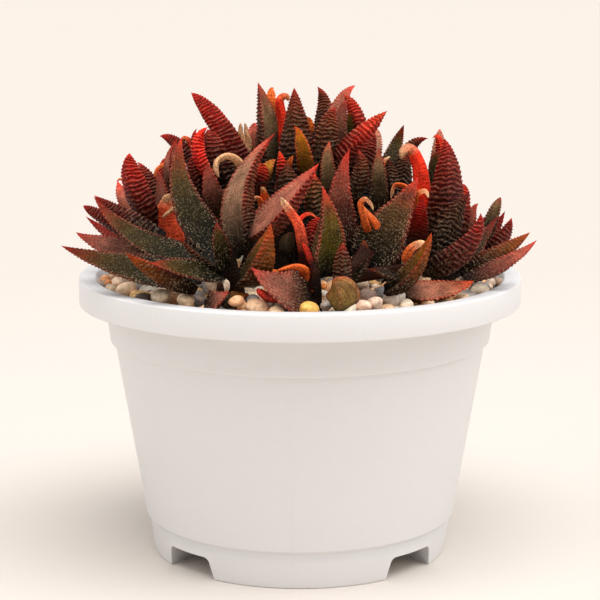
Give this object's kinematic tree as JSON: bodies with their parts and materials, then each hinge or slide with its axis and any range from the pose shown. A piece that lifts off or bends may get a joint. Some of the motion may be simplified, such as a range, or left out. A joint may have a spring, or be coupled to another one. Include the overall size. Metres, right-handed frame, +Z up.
{
  "type": "potted haworthia",
  "caption": "Clump of keeled, ridged haworthia rosettes with red-flushed leaves, growing through a pebble top dressing in a round white plastic nursery pot.",
  "frame": {"origin": "centre of the circle of the pot's feet, on the surface that they stand on", "axes": "+Z straight up the axis of the pot; +X to the viewer's right and -Y towards the viewer, in the view of the picture"},
  "size_m": [0.154, 0.15, 0.159],
  "materials": {
    "pot_plastic": "satin white moulded polypropylene",
    "soil": "dull, crumbly",
    "pebbles": "dull, water-worn, mixed colours",
    "leaf_green": "satin, ridged, pale-dotted",
    "leaf_brown": "satin, ridged, mauve-brown",
    "leaf_maroon": "satin, ridged, dark red",
    "leaf_red": "satin, ridged, bright red"
  },
  "bodies": {
    "root": {"rosette_front_left": "leaf_green", "rosette_front_centre": "leaf_brown", "rosette_front_low": "leaf_maroon", "rosette_bud_front": "leaf_green", "rosette_bud_left": "leaf_brown", "rosette_left": "leaf_maroon", "rosette_back_left": "leaf_red", "rosette_centre": "leaf_brown", "rosette_back_centre": "leaf_brown", "rosette_top_right": "leaf_red", "rosette_mid_right": "leaf_brown", "rosette_right": "leaf_maroon", "rosette_right_high": "leaf_maroon", "rosette_far_right": "leaf_red", "rosette_back_right": "leaf_red", "rosette_rear_left": "leaf_maroon", "rosette_rear_middle_left": "leaf_green", "rosette_rear_middle": "leaf_red", "rosette_rear_right": "leaf_brown", "gravel": "pebbles", "soil": "soil", "pot": "pot_plastic"}
  },
  "joints": []
}
